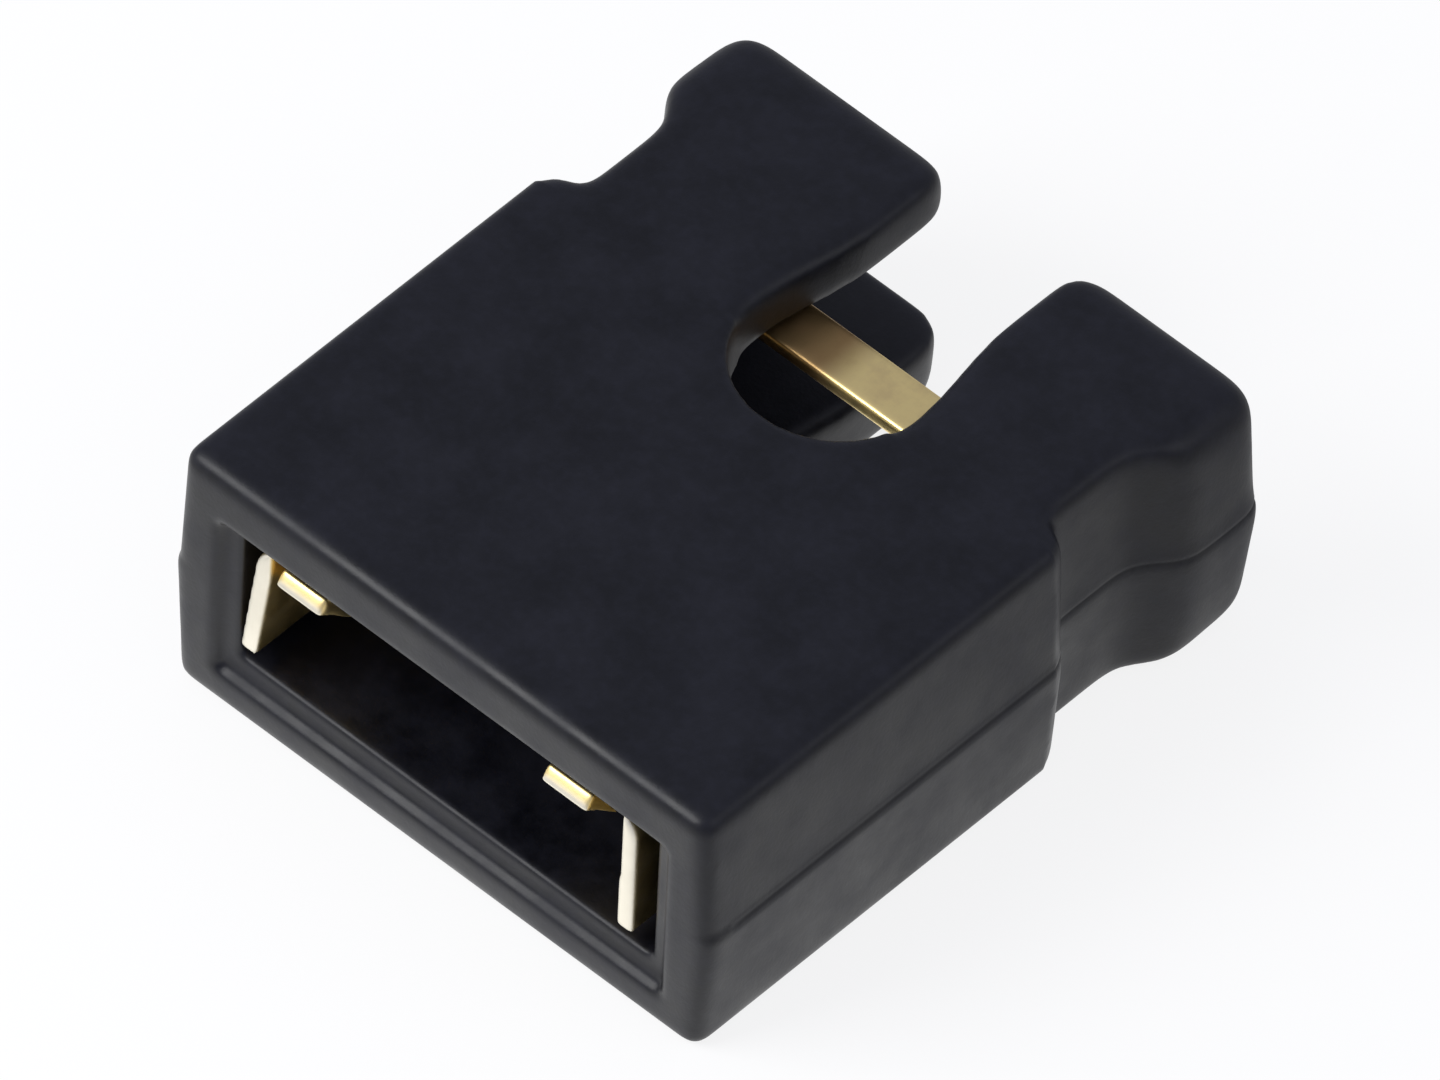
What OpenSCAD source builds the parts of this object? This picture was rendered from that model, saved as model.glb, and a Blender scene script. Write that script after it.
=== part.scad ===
// Two-position jumper shunt: a moulded housing with a folded sheet contact inside.
// X runs across the two pins, Y from the mouth to the ears, Z up through the thickness.
// The part lies on one wide face, with the origin under the middle of its outline.

/* [Pins] */
// Distance between the two header pins
pitch = 2.54; // [2.5:0.01:2.6]
// Side of the square header pins
pin_side = 0.64; // [0.6:0.01:0.66]

/* [Contact] */
// Thickness of the contact sheet
sheet = 0.15; // [0.12:0.01:0.2]
// Inner radius of the fold between the bar and each wing
fold_radius = 0.08; // [0.04:0.01:0.15]
// Gap between a pin and the wing beside it
pin_gap = 0.08; // [0.04:0.01:0.2]
// Height of the two folded-down wings
wing_height = 1.20; // [1.05:0.01:1.4]
// Angle by which the left wing springs outward
wing_lean = 7; // [0:0.5:9]
// Distance of the contact's front edges behind the mouth face
contact_setback = 0.04; // [0:0.01:0.15]
// Length of the contact, from its front edges to the back of the bar
contact_length = 4.38; // [3.9:0.02:4.6]
// Depth of the bar that joins both sides, front to back
bar_depth = 0.44; // [0.35:0.01:0.7]
// Width of each spring finger
finger_width = 0.44; // [0.35:0.01:0.5]
// Sideways offset of both fingers from the pin axes
finger_shift = -0.14; // [-0.15:0.01:0.15]
// Width of the slit between a finger and the wing nearest to it
slit = 0.05; // [0.03:0.01:0.1]
// Distance of the fingers' contact line behind the mouth face
pinch_depth = 0.78; // [0.5:0.01:1.2]
// How far the fingers reach into the pins' path at rest
pinch = 0.10; // [0.04:0.01:0.15]
// Rise of the turned-up finger tips above the contact line
tip_rise = 0.34; // [0.2:0.01:0.4]

/* [Housing] */
// Gap between the foot of the leaning wing and the cavity wall
wall_gap = 0.04; // [0.02:0.01:0.1]
// Gap between the wings' lower edges and the highest part of the cavity floor
floor_gap = 0.05; // [0.02:0.01:0.12]
// Thickness of the side walls at the parting line
side_wall = 0.60; // [0.55:0.01:0.8]
// Thickness of the upper wall
upper_wall = 0.50; // [0.4:0.01:0.6]
// Thickness of the lower wall at the mouth
lower_wall = 0.54; // [0.45:0.01:0.7]
// Rise of the cavity floor from the mouth to the ears, the draft of its moulding core
floor_rise = 0.11; // [0.02:0.01:0.16]
// Length of the straight body, from the mouth face to the shoulders
body_length = 3.78; // [3.4:0.02:4.4]
// Length of the straight part of the neck
neck_length = 0.76; // [0.55:0.01:0.95]
// Length of the curved flare from the neck to the ears
flare_length = 0.52; // [0.4:0.01:0.7]
// Length of the straight-sided part of the ears
ear_length = 0.74; // [0.6:0.01:1]
// Depth of the neck below the side walls
neck_depth = 0.29; // [0.2:0.01:0.34]
// Drop of the wide faces behind the shoulders
ear_relief = 0.025; // [0.01:0.005:0.06]

/* [Mouth] */
// Width of the shallow recess around the mouth opening, beyond the cavity on each side
mouth_side = 0.16; // [0.08:0.01:0.25]
// Reach of the recess below the cavity floor
mouth_drop = 0.20; // [0.1:0.01:0.3]
// Depth of the recess
mouth_depth = 0.09; // [0.05:0.01:0.2]

/* [Notch] */
// Depth of the notch from the ends of the ears
notch_depth = 2.66; // [2.4:0.01:2.9]
// Width of the notch between the ears, at the parting line
notch_throat = 1.12; // [0.8:0.01:1.3]
// Diameter of the round bottom of the notch, at the parting line
notch_bulb = 1.38; // [1.31:0.01:1.6]
// Sideways offset of the notch from the middle of the housing
notch_shift = 0.16; // [-0.2:0.01:0.2]
// Widening of each notch wall from the parting line to the wide faces
notch_draft = 0.05; // [0.02:0.01:0.1]
// Radius of the ears' inner corners
ear_inner_radius = 0.32; // [0.1:0.01:0.4]

/* [Edges] */
// Amount the side walls lean in from the parting line to each wide face
side_draft = 0.07; // [0.01:0.01:0.1]
// Amount the ends of the ears lean in from the parting line to each wide face
tip_draft = 0.03; // [0.01:0.01:0.06]
// Width of the ledge where the lower mould half stands proud
mould_step = 0.025; // [0.01:0.005:0.05]
// Rounding between the wide faces and the walls at the mouth
mouth_round = 0.13; // [0.06:0.01:0.16]
// Rounding between the wide faces and the walls at the ears
ear_round = 0.26; // [0.1:0.01:0.3]
// Corner radius beside the mouth, seen from above
mouth_corner = 0.13; // [0.05:0.01:0.2]
// Corner radius of the shoulders, seen from above
shoulder_corner = 0.22; // [0.05:0.01:0.28]
// Outer corner radius of the ears, seen from above
ear_corner = 0.22; // [0.1:0.01:0.4]

/* [Hidden] */

cut = 0.5;                 // overshoot of a cutting shape past the surface it opens
arc_steps = 8;             // facets in a quarter turn of a small rounding
curve_steps = 16;          // facets in a long curve
ball_sides = 32;           // facets round a corner ball
plate = 0.01;              // height of the thin plate that carries the outline at the parting line

wing_inner = pitch / 2 + pin_side / 2 + pin_gap;
fold_centre = wing_inner - fold_radius;
wing_drop = wing_height - sheet - fold_radius;
wing_foot = fold_centre + wing_drop * sin(wing_lean) + (fold_radius + sheet) * cos(wing_lean);
cavity_half = wing_foot + wall_gap;
ear_floor = lower_wall + floor_rise;
cavity_roof = ear_floor + floor_gap + wing_height;
thickness = cavity_roof + upper_wall;
parting = thickness / 2;
half_width = cavity_half + side_wall;
neck_end = body_length + neck_length;
ear_start = neck_end + flare_length;
length = ear_start + ear_length;

notch_bottom = length - notch_depth;
bulb_centre = notch_bottom + notch_bulb / 2;
throat_start = length - ear_inner_radius - cut;

bar_back = contact_setback + contact_length;
bar_front = bar_back - bar_depth;
bar_middle = cavity_roof - sheet / 2;
pinch_middle = ear_floor + pin_side - pinch + sheet / 2;
tip_slope = atan(tip_rise * PI / 2 / (pinch_depth - contact_setback));
tip_start = contact_setback + sheet / 2 * sin(tip_slope);
window_half = pitch / 2 + abs(finger_shift) + finger_width / 2 + slit;

// Points of a circular arc from angle a0 to a1
function arc(x, y, r, a0, a1, steps = arc_steps) =
    [for (i = [0:steps]) let (a = a0 + (a1 - a0) * i / steps) [x + r * cos(a), y + r * sin(a)]];

// Smooth step from 0 to 1 as t goes from 0 to 1
function ease(t) = (1 - cos(180 * t)) / 2;

function reversed(points) = [for (i = [len(points) - 1:-1:0]) points[i]];

function mirrored(points) = [for (p = reversed(points)) [-p.x, p.y]];

// Space beside the neck seen from above, from the rounded shoulder to the end of the flare;
// x = 0 is the side wall
function neck_space() =
    let (start = body_length - shoulder_corner)
    concat(
        [[cut, start]],
        arc(-shoulder_corner, start, shoulder_corner, 0, 90),
        [[-neck_depth, body_length]],
        [for (i = [0:curve_steps]) let (t = i / curve_steps)
            [neck_depth * (ease(t) - 1), neck_end + flare_length * t]],
        [[cut, ear_start]]
    );

// Half the width of the notch at y: round bulb, narrowing throat, rounded mouth
function notch_half(y) =
    y < bulb_centre ? sqrt(max(0, pow(notch_bulb / 2, 2) - pow(y - bulb_centre, 2)))
    : y < throat_start ? notch_bulb / 2 - (notch_bulb - notch_throat) / 2
        * ease((y - bulb_centre) / (throat_start - bulb_centre))
    : y < length - ear_inner_radius ? notch_throat / 2
    : notch_throat / 2 + ear_inner_radius
        - sqrt(max(0, pow(ear_inner_radius, 2) - pow(y - length + ear_inner_radius, 2)));

// Heights along the notch at which its outline has a point
function notch_stations() = concat(
    [for (i = [0:curve_steps]) bulb_centre - notch_bulb / 2 * cos(90 * i / curve_steps)],
    [for (i = [1:curve_steps]) bulb_centre + (throat_start - bulb_centre) * i / curve_steps],
    [for (i = [0:arc_steps]) length - ear_inner_radius * (1 - sin(90 * i / arc_steps))]
);

// Right-hand edge of the notch, from its bottom out past the ears, with y = 0 at the ears' ends
function notch_edge() = concat(
    [for (y = notch_stations()) [notch_half(y), y - length]],
    [[notch_throat / 2 + ear_inner_radius, cut]]
);

// One mould half, from the outline at the parting line to the rounded edges of its wide face
module mould_half(inset, up) {
    side = half_width - inset;
    face = half_width - side_draft;
    end = length - inset;
    translate([0, 0, parting]) mirror([0, 0, up ? 0 : 1]) difference() {
        hull() for (right = [0, 1]) mirror([right, 0, 0]) {
            translate([side - mouth_corner, mouth_corner, 0])
                cylinder(plate, r = mouth_corner, $fn = ball_sides);
            translate([side - ear_corner, end - ear_corner, 0])
                cylinder(plate, r = ear_corner, $fn = ball_sides);
            face_ball(face, mouth_round, mouth_round, 0);
            face_ball(face, body_length - mouth_round, mouth_round, 0);
            face_ball(face, length - tip_draft - ear_round, ear_round, ear_relief);
        }
        for (right = [0, 1]) mirror([right, 0, 0])
            translate([side, 0, 0]) rotate([0, -atan((side - face) / parting), 0])
                translate([0, 0, -cut]) linear_extrude(parting + 2 * cut) polygon(neck_space());
    }
}

// Ball that rounds the wide face's edge at side wall x, with its top at drop below the face
module face_ball(x, y, radius, drop) {
    translate([x - radius, y, parting - drop - radius]) sphere(radius, $fn = ball_sides);
}

// Tunnel that holds the contact: a recess at the mouth, then a floor that rises to the ears
module cavity() {
    floor_slope = floor_rise / length;
    rotate([90, 0, 90]) linear_extrude(2 * cavity_half, center = true)
        polygon([
            [-cut, cavity_roof],
            [-cut, lower_wall - cut * floor_slope],
            [length + cut, ear_floor + cut * floor_slope],
            [length + cut, cavity_roof]
        ]);
    translate([-cavity_half - mouth_side, -cut, lower_wall - mouth_drop])
        cube([2 * (cavity_half + mouth_side), cut + mouth_depth, cavity_roof - lower_wall + mouth_drop]);
}

// Notch between the ears, widening from the parting line to both wide faces
module notch() {
    flare = 1 + 2 * notch_draft / notch_throat;
    deepen = 1 + notch_draft / notch_depth;
    translate([notch_shift, length, parting])
        for (up = [0, 1]) mirror([0, 0, up])
            linear_extrude(parting, scale = [flare, deepen])
                polygon(concat(notch_edge(), mirrored(notch_edge())));
}

module housing() {
    color([0.10, 0.10, 0.12])
    translate([0, -length / 2, 0])
    difference() {
        union() {
            mould_half(0, false);
            mould_half(mould_step, true);
        }
        cavity();
        notch();
    }
}

// Cross-section of one folded side: half of the bar, the fold and the wing with its lean
module folded_side(lean) {
    centre = [fold_centre, cavity_roof - sheet - fold_radius];
    foot = centre + wing_drop * [sin(lean), -cos(lean)];
    reach = [cos(lean), sin(lean)];
    polygon(concat(
        [[0, cavity_roof]],
        arc(centre.x, centre.y, fold_radius + sheet, 90, lean),
        [foot + (fold_radius + sheet) * reach, foot + fold_radius * reach],
        arc(centre.x, centre.y, fold_radius, lean, 90),
        [[0, cavity_roof - sheet]]
    ));
}

// Height of the middle of a finger at distance y from the mouth face
function finger_middle(y) =
    y >= bar_front ? bar_middle
    : y >= pinch_depth ? bar_middle - (bar_middle - pinch_middle)
        * ease((bar_front - y) / (bar_front - pinch_depth))
    : pinch_middle + tip_rise * (1 - cos(90 * (pinch_depth - y) / (pinch_depth - contact_setback)));

// Point on the upper or lower surface of a finger, half a sheet away from its middle line
function finger_point(y, side) =
    let (step = 0.001, rise = (finger_middle(y + step) - finger_middle(y)) / step,
         size = sqrt(1 + rise * rise))
    [y - side * sheet / 2 * rise / size, finger_middle(y) + side * sheet / 2 / size];

// Spring finger in side view, from its root in the bar to its turned-up tip
module finger() {
    stations = concat(
        [for (i = [0:arc_steps]) tip_start + (pinch_depth - tip_start) * i / arc_steps],
        [for (i = [1:curve_steps]) pinch_depth + (bar_front - pinch_depth) * i / curve_steps],
        [bar_back - sheet]
    );
    upper = [for (y = stations) finger_point(y, 1)];
    lower = [for (y = stations) finger_point(y, -1)];
    rotate([90, 0, 90]) linear_extrude(finger_width, center = true)
        polygon(concat(lower, reversed(upper)));
}

module contact() {
    color([0.80, 0.68, 0.40])
    translate([0, -length / 2, 0]) {
        difference() {
            translate([0, bar_back, 0]) rotate([90, 0, 0]) linear_extrude(contact_length)
                union() {
                    folded_side(0);
                    mirror([1, 0]) folded_side(wing_lean);
                }
            translate([-window_half, contact_setback - cut, parting])
                cube([2 * window_half, bar_front - contact_setback + cut, thickness]);
        }
        for (side = [-1, 1])
            translate([side * pitch / 2 + finger_shift, 0, 0]) finger();
    }
}

housing();
contact();
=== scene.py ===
import math
import bmesh
import bpy
from mathutils import Matrix, Vector


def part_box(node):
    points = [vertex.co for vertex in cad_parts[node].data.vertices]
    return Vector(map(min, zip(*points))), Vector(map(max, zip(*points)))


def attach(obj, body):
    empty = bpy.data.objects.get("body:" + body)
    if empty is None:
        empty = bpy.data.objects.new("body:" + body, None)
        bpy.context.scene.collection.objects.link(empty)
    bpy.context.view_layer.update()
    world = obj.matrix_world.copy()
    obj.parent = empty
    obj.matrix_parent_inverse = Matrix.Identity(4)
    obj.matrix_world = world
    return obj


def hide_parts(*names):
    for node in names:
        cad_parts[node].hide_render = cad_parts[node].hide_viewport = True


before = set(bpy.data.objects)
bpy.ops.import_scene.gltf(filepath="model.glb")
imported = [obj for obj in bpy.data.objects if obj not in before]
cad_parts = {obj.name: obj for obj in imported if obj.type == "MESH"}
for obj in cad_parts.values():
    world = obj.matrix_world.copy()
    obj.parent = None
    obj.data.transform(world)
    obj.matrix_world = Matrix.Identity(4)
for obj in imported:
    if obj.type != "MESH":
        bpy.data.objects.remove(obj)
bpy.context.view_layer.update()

mm = 0.001  # the frame is in metres


class Wire:  # a node's output that can be used in plain expressions
    def __init__(self, board, socket):
        self.board, self.socket = board, socket

    def math(self, operation, *others):
        return self.board.add("ShaderNodeMath", {"operation": operation}, [self, *others])

    def __add__(self, other): return self.math("ADD", other)
    def __radd__(self, other): return self.math("ADD", other)
    def __sub__(self, other): return self.math("SUBTRACT", other)
    def __mul__(self, other): return self.math("MULTIPLY", other)
    def __rmul__(self, other): return self.math("MULTIPLY", other)
    def __truediv__(self, other): return self.math("DIVIDE", other)
    def __abs__(self): return self.math("ABSOLUTE")

    def __rsub__(self, other):
        return self.board.add("ShaderNodeMath", {"operation": "SUBTRACT"}, [other, self])

    def other(self, name):  # another output of the same node
        return Wire(self.board, self.socket.node.outputs[name])

    def above(self, edge, blur):  # 0 below the edge, 1 above it, with a soft change
        return self.board.add("ShaderNodeMapRange", {"interpolation_type": "SMOOTHSTEP"},
                              {"Value": self, "From Min": edge - blur, "From Max": edge + blur})

    def bell(self, middle, width):  # 1 at the middle, fading to 0 over the width
        return 1 - abs(self - middle).above(width * 0.5, width * 0.5)


class Board:  # the node tree of a material, of the world or of a Geometry Nodes group
    def __init__(self, tree):
        self.tree = tree
        tree.nodes.clear()

    def put(self, socket, value):
        if isinstance(value, Wire):
            self.tree.links.new(value.socket, socket)
        else:
            socket.default_value = value

    def add(self, kind, settings=None, inputs=None, output=0):  # any node
        node = self.tree.nodes.new(kind)
        for key, value in (settings or {}).items():
            setattr(node, key, value)
        pairs = inputs.items() if isinstance(inputs, dict) else enumerate(inputs or [])
        for key, value in pairs:
            self.put(node.inputs[key], value)
        return Wire(self, node.outputs[output]) if node.outputs else None

    def objectPoint(self):
        return self.add("ShaderNodeTexCoord", output="Object")

    def axis(self, point, letter):
        return self.add("ShaderNodeSeparateXYZ", None, [point], letter)

    def blend(self, mask, low, high):  # low where the mask is 0, high where it is 1
        return self.add("ShaderNodeMix", {"data_type": "RGBA"}, {0: mask, 6: low, 7: high}, 2)

    def noise(self, point, size, detail, rough):  # features of about size
        return self.add("ShaderNodeTexNoise", None, {"Vector": point, "Scale": 1 / size,
                                                     "Detail": detail, "Roughness": rough})

    def bump(self, height, depth, strength=1.0, below=None):
        inputs = {"Height": height, "Distance": depth, "Strength": strength}
        if below:
            inputs["Normal"] = below
        return self.add("ShaderNodeBump", None, inputs)


def startMaterial(name):
    material = bpy.data.materials.new(name)
    material.use_nodes = True
    return material, Board(material.node_tree)


def link(thing):
    bpy.context.scene.collection.objects.link(thing)


# black moulded plastic of the housing
plastic = {
    "dark": (0.0006, 0.0008, 0.0024, 1),
    "pale": (0.0062, 0.0066, 0.0120, 1),
    "cloud": 0.55 * mm,       # slow change of tone
    "speck": 0.10 * mm,       # quick change of tone
    "cloudShare": 0.6,
    "roughness": 0.36,
    "roughnessSpread": 0.16,
    "grain": 0.035 * mm,      # fine grain of the mould's surface
    "grainDepth": 0.0016 * mm,
    "grainStrength": 0.8,
    "wave": 0.9 * mm,         # slow unevenness of the moulded faces
    "waveDepth": 0.010 * mm,
    "seamColour": (0.003, 0.003, 0.004, 1),
    "seamWidth": 0.03 * mm,
    "seamShade": 0.6,
    "seamRoughness": 0.2,
    "seamStart": 0.3 * mm,    # the line fades in this far behind the mouth
    "seamFade": 0.2 * mm,
    "ior": 1.41,
}


def makePlastic(seamZ, mouthY):
    material, board = startMaterial("mouldedBlack")
    point = board.objectPoint()
    cloud = board.noise(point, plastic["cloud"], 4.0, 0.6)
    speck = board.noise(point, plastic["speck"], 2.0, 0.6)
    grain = board.noise(point, plastic["grain"], 2.0, 0.65)
    wave = board.noise(point, plastic["wave"], 1.0, 0.4)
    seam = board.axis(point, "Z").bell(seamZ, plastic["seamWidth"])
    seam = seam * board.axis(point, "Y").above(mouthY + plastic["seamStart"], plastic["seamFade"])
    share = plastic["cloudShare"]
    tone = cloud.above(0.5, 0.22) * share + speck.above(0.55, 0.2) * (1 - share)
    colour = board.blend(tone, plastic["dark"], plastic["pale"])
    colour = board.blend(seam * plastic["seamShade"], colour, plastic["seamColour"])
    roughness = cloud.above(0.5, 0.3) * plastic["roughnessSpread"] + plastic["roughness"]
    slow = board.bump(wave, plastic["waveDepth"])
    fine = board.bump(grain, plastic["grainDepth"], plastic["grainStrength"], slow)
    body = board.add("ShaderNodeBsdfPrincipled", None, {
        "Base Color": colour, "Roughness": roughness + seam * plastic["seamRoughness"],
        "Normal": fine, "IOR": plastic["ior"]})
    board.add("ShaderNodeOutputMaterial", None, {"Surface": body})
    return material


# gold-flashed sheet of the contact
plating = {
    "gold": (1.0, 0.79, 0.34, 1),
    "worn": (0.74, 0.57, 0.28, 1),
    "sheared": (0.80, 0.76, 0.65, 1),  # bare metal of the cut edges at the mouth
    "shearedReach": 0.035 * mm,
    "shearedFade": 0.02 * mm,
    "shearedRoughness": 0.12,
    # painted shade: a brown colour on the left part of the bar, in place of the shadow that the notch's
    # left flank casts on it
    "paintedShade": (0.30, 0.17, 0.07, 1),
    "paintedShadeEdge": -0.02 * mm,  # painted shade darkens the bar to the left of this line
    "paintedShadeFade": 0.16 * mm,
    "paintedShadeWander": 0.2 * mm,
    "paintedShadeShare": 0.85,
    "barReach": 0.6 * mm,       # the bar's part of the contact, from its back edge
    "barFade": 0.05 * mm,
    "stain": 0.30 * mm,
    "stainShare": 0.7,
    "roughness": 0.33,
    "roughnessSpread": 0.14,
    "lines": 0.02 * mm,         # rolling marks run along the strip
    "linesStretch": (1, 0.08, 1),
    "linesDepth": 0.0006 * mm,
    "linesStrength": 0.6,
}


def makePlating(frontY, backY):
    material, board = startMaterial("goldFlashedSheet")
    point = board.objectPoint()
    stain = board.noise(point, plating["stain"], 4.0, 0.6)
    rolled = board.add("ShaderNodeMapping", None, {"Vector": point, "Scale": plating["linesStretch"]})
    lines = board.noise(rolled, plating["lines"], 2.0, 0.6)
    x, y = board.axis(point, "X"), board.axis(point, "Y")
    cut = 1 - (y - frontY).above(plating["shearedReach"], plating["shearedFade"])
    colour = board.blend(stain.above(0.56, 0.14) * plating["stainShare"], plating["gold"], plating["worn"])
    colour = board.blend(cut, colour, plating["sheared"])
    # painted shade: the bar's left part is blended towards brown, with a wandering edge, standing in for
    # the shade under the notch's left flank
    shadeEdgeWobble = (stain - 0.5) * plating["paintedShadeWander"]
    paintedShadeMask = 1 - (x + shadeEdgeWobble).above(plating["paintedShadeEdge"], plating["paintedShadeFade"])
    paintedShadeMask = paintedShadeMask * y.above(backY - plating["barReach"], plating["barFade"])
    colour = board.blend(paintedShadeMask * plating["paintedShadeShare"], colour, plating["paintedShade"])
    roughness = stain.above(0.5, 0.25) * plating["roughnessSpread"] + plating["roughness"]
    metal = board.add("ShaderNodeBsdfPrincipled", None, {
        "Base Color": colour, "Roughness": roughness + cut * plating["shearedRoughness"],
        "Metallic": 1.0, "Normal": board.bump(lines, plating["linesDepth"], plating["linesStrength"])})
    board.add("ShaderNodeOutputMaterial", None, {"Surface": metal})
    return material


# the group that rounds what is sharp and sinks the line between the two mould halves
def buildSoftener():
    group = bpy.data.node_groups.new("softEdges", "GeometryNodeTree")
    for name, kind in (("Geometry", "Geometry"), ("passes", "Int"), ("softPasses", "Int"),
                       ("softFrom", "Float"), ("seamHeight", "Float"), ("seamWidth", "Float"),
                       ("seamDepth", "Float"), ("seamFrom", "Float"), ("material", "Material")):
        group.interface.new_socket(name, in_out="INPUT", socket_type="NodeSocket" + kind)
    group.interface.new_socket("Geometry", in_out="OUTPUT", socket_type="NodeSocketGeometry")
    board = Board(group)
    start = board.add("NodeGroupInput")
    size = start.other
    place = board.add("GeometryNodeInputPosition")
    y, z = board.axis(place, "Y"), board.axis(place, "Z")

    def blurred(passes, weight):
        return board.add("GeometryNodeBlurAttribute", {"data_type": "FLOAT_VECTOR"},
                         {"Value": place, "Iterations": passes, "Weight": weight})

    def moved(shape, **inputs):
        return board.add("GeometryNodeSetPosition", None, {"Geometry": shape, **inputs})

    rounded = moved(start, Position=blurred(size("passes"), 1.0))
    # the edges of the waist, the notch and the ears are softer than those round the mouth
    behind = y.math("GREATER_THAN", size("softFrom"))
    softer = moved(rounded, Position=blurred(size("softPasses"), behind))
    # the line shows on the walls behind the mouth face only
    near = (1 - abs(z - size("seamHeight")) / size("seamWidth")).math("MAXIMUM", 0.0)
    sunk = near * y.math("GREATER_THAN", size("seamFrom")) * size("seamDepth") * -1.0
    push = board.add("ShaderNodeVectorMath", {"operation": "SCALE"},
                     {0: board.add("GeometryNodeInputNormal"), "Scale": sunk})
    lined = moved(softer, Offset=push)
    smooth = board.add("GeometryNodeSetShadeSmooth", None, {"Geometry": lined})
    real = board.add("GeometryNodeRealizeInstances", None, {"Geometry": smooth})
    dressed = board.add("GeometryNodeSetMaterial", None, {"Geometry": real, "Material": size("material")})
    board.add("NodeGroupOutput", None, {"Geometry": dressed})
    return group


mergeDistance = 0.0005 * mm


def softCopy(node, name, sizes, material, softener, reshape=None):
    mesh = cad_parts[node].data.copy()
    mesh.materials.clear()
    work = bmesh.new()
    work.from_mesh(mesh)
    bmesh.ops.remove_doubles(work, verts=work.verts, dist=mergeDistance)
    if reshape:
        reshape(work.verts)
    work.to_mesh(mesh)
    work.free()
    blank = bpy.data.objects.new(name + "Blank", mesh)
    link(blank)
    fine = blank.modifiers.new("fine", "REMESH")
    fine.mode, fine.voxel_size, fine.use_smooth_shade = "VOXEL", sizes["voxel"], True
    soft = blank.modifiers.new("soft", "NODES")
    soft.node_group = softener
    values = {**sizes, "material": material}
    for item in softener.interface.items_tree:
        if item.in_out == "INPUT" and item.name in values:
            soft[item.identifier] = values[item.name]
    blank.modifiers.new("thin", "DECIMATE").ratio = sizes["keep"]
    depsgraph = bpy.context.evaluated_depsgraph_get()
    result = bpy.data.meshes.new_from_object(blank.evaluated_get(depsgraph), depsgraph=depsgraph)
    bpy.data.objects.remove(blank)
    bpy.data.meshes.remove(mesh)
    result.name = name
    piece = bpy.data.objects.new(name, result)
    link(piece)
    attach(piece, "root")
    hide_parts(node)
    print(name, "has", sum(len(face.vertices) - 2 for face in result.polygons), "triangles")


low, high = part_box("housing")
seamZ = (low[2] + high[2]) / 2
contactLow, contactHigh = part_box("contact")
softener = buildSoftener()

shell = {
    "voxel": 0.030 * mm, "keep": 0.45,
    "passes": 4,
    "softPasses": 26, "softFrom": 0.70 * mm,
    "seamHeight": seamZ, "seamWidth": 0.035 * mm, "seamDepth": 0.010 * mm,
    "seamFrom": low[1] + 0.25 * mm,
}
softCopy("housing", "housingShell", shell, makePlastic(seamZ, low[1]), softener)
print("housing made")

strip = {
    "voxel": 0.018 * mm, "keep": 0.55,
    "passes": 7,
    "fingerReach": 1.64 * mm,   # the fingers lie within this distance of the middle
    "tipStart": -2.42 * mm, "tipLength": 0.3 * mm, "tipLift": 0.11 * mm,
}


def liftTips(corners):  # the fingers' tips spring up a little
    for corner in corners:
        if abs(corner.co.x) < strip["fingerReach"] and corner.co.y < strip["tipStart"]:
            share = (strip["tipStart"] - corner.co.y) / strip["tipLength"]
            corner.co.z += strip["tipLift"] * min(1, share)


softCopy("contact", "contactStrip", strip, makePlating(contactLow[1], contactHigh[1]), softener, liftTips)
print("contact made")


# the white sheet under the part, the sky and the lamps
studio = {
    "floorSize": 0.6,
    "floorDrop": 0.001 * mm,
    "floorColour": (0.90, 0.90, 0.90, 1),
    "floorRoughness": 0.9,
    "glowShare": 0.82,       # the rest is lit by the lamps, and keeps the shadow
    "floorGlow": 1.03,       # the sheet as the camera sees it
    "nearGlow": 1.75,        # the sheet as it shows in the part, close to it
    "farGlow": 0.80,         # and further away
    "nearRadius": 5.0 * mm,
    "nearFade": 2.5 * mm,
    "backShare": 0.55,       # share of that light behind the part, away from the window
    "backEdge": 0.5 * mm,
    "backFade": 3.0 * mm,
    "sky": (0.385, 0.40, 0.49, 1),
    "seenSky": (1, 1, 1, 1),
    "lampSize": 0.05,
    "keyPower": 0.052,
    "keyPlace": (-0.035, -0.050, 0.055),
    "backPower": 0.006,
    "backPlace": (0.060, 0.020, 0.050),
}


def makeFloor():
    size, z = studio["floorSize"], low[2] - studio["floorDrop"]
    corners = [(-size, -size, z), (size, -size, z), (size, size, z), (-size, size, z)]
    mesh = bpy.data.meshes.new("studioFloor")
    mesh.from_pydata(corners, [], [(0, 1, 2, 3)])
    floor = bpy.data.objects.new("studioFloor", mesh)
    link(floor)
    material, board = startMaterial("whiteSheet")
    point = board.objectPoint()
    x, y = board.axis(point, "X"), board.axis(point, "Y")
    away = (x * x + y * y).math("SQRT").above(studio["nearRadius"], studio["nearFade"])
    behind = ((x + y) * math.sqrt(0.5)).above(studio["backEdge"], studio["backFade"])
    lit = studio["nearGlow"] - away * (studio["nearGlow"] - studio["farGlow"])
    lit = lit * (1 - behind * (1 - studio["backShare"]))
    direct = board.add("ShaderNodeLightPath", output="Is Camera Ray")
    mirrored = direct.other("Is Glossy Ray")
    strength = direct * studio["floorGlow"] + mirrored * lit
    glow = board.add("ShaderNodeEmission", None, {
        "Color": board.add("ShaderNodeCombineXYZ", None, [strength] * 3)})
    sheet = board.add("ShaderNodeBsdfPrincipled", None, {
        "Base Color": studio["floorColour"], "Roughness": studio["floorRoughness"]})
    share = direct.math("MAXIMUM", mirrored) * studio["glowShare"]
    mix = board.add("ShaderNodeMixShader", None, [share, sheet, glow])
    board.add("ShaderNodeOutputMaterial", None, {"Surface": mix})
    mesh.materials.append(material)


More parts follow.
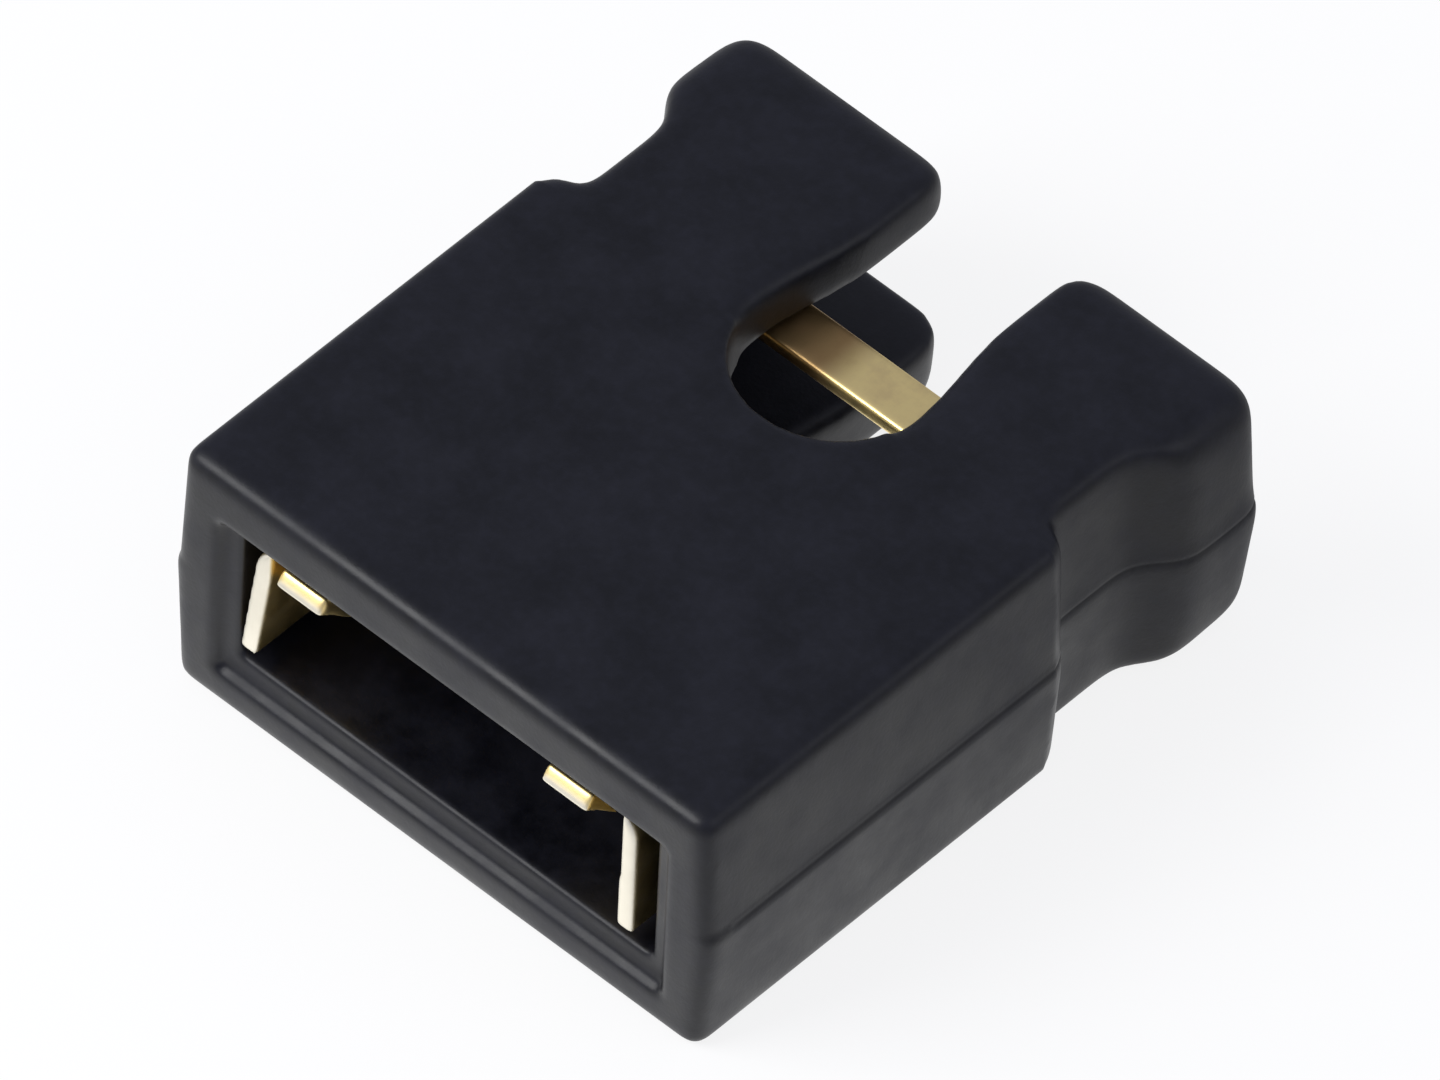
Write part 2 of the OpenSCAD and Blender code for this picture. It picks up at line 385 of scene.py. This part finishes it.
def makeSky():
    world = bpy.data.worlds.new("studio")
    bpy.context.scene.world = world
    world.use_nodes = True
    board = Board(world.node_tree)
    direct = board.add("ShaderNodeLightPath", output="Is Camera Ray")
    dim = board.add("ShaderNodeBackground", None, {"Color": studio["sky"]})
    white = board.add("ShaderNodeBackground", None, {"Color": studio["seenSky"]})
    mix = board.add("ShaderNodeMixShader", None, [direct, dim, white])
    board.add("ShaderNodeOutputWorld", None, {"Surface": mix})


def makeLamp(name):
    data = bpy.data.lights.new(name, "AREA")
    data.energy, data.size = studio[name + "Power"], studio["lampSize"]
    lamp = bpy.data.objects.new(name + "Lamp", data)
    lamp.location = studio[name + "Place"]
    lamp.rotation_euler = Vector(lamp.location).to_track_quat("Z", "Y").to_euler()
    link(lamp)


makeFloor()
makeSky()
makeLamp("key")
makeLamp("back")
print("studio made")

camera = {
    "azimuth": 40.97, "elevation": 49.11, "roll": 2.75,  # degrees; azimuth 0 looks along +Y
    "lens": 1121.0,          # millimetres; so long that edges stay almost parallel
    "sensor": 36,
    "distance": 0.3137,
    "aim": (0.0, 0.1 * mm, 1.25 * mm),
    "aside": -0.084 * mm,
    "down": -0.171 * mm,
    "nearest": 0.01,
    "furthest": 10,
}


def makeCamera():
    turn, lift, roll = (math.radians(camera[key]) for key in ("azimuth", "elevation", "roll"))
    flat = math.cos(lift)
    back = Vector((math.sin(turn) * flat, -math.cos(turn) * flat, math.sin(lift)))
    level = Vector((math.cos(turn), math.sin(turn), 0))
    steep = back.cross(level)
    right = level * math.cos(roll) + steep * math.sin(roll)
    up = steep * math.cos(roll) - level * math.sin(roll)
    aim = Vector(camera["aim"]) + right * camera["aside"] + up * camera["down"]
    data = bpy.data.cameras.new("view")
    data.lens, data.sensor_width = camera["lens"], camera["sensor"]
    data.clip_start, data.clip_end = camera["nearest"], camera["furthest"]
    eye = bpy.data.objects.new("view", data)
    eye.matrix_world = Matrix((right, up, back)).transposed().to_4x4()
    eye.location = aim + back * camera["distance"]
    link(eye)
    bpy.context.scene.camera = eye


makeCamera()
bpy.context.scene.view_settings.view_transform = 'Standard'
print("camera made")
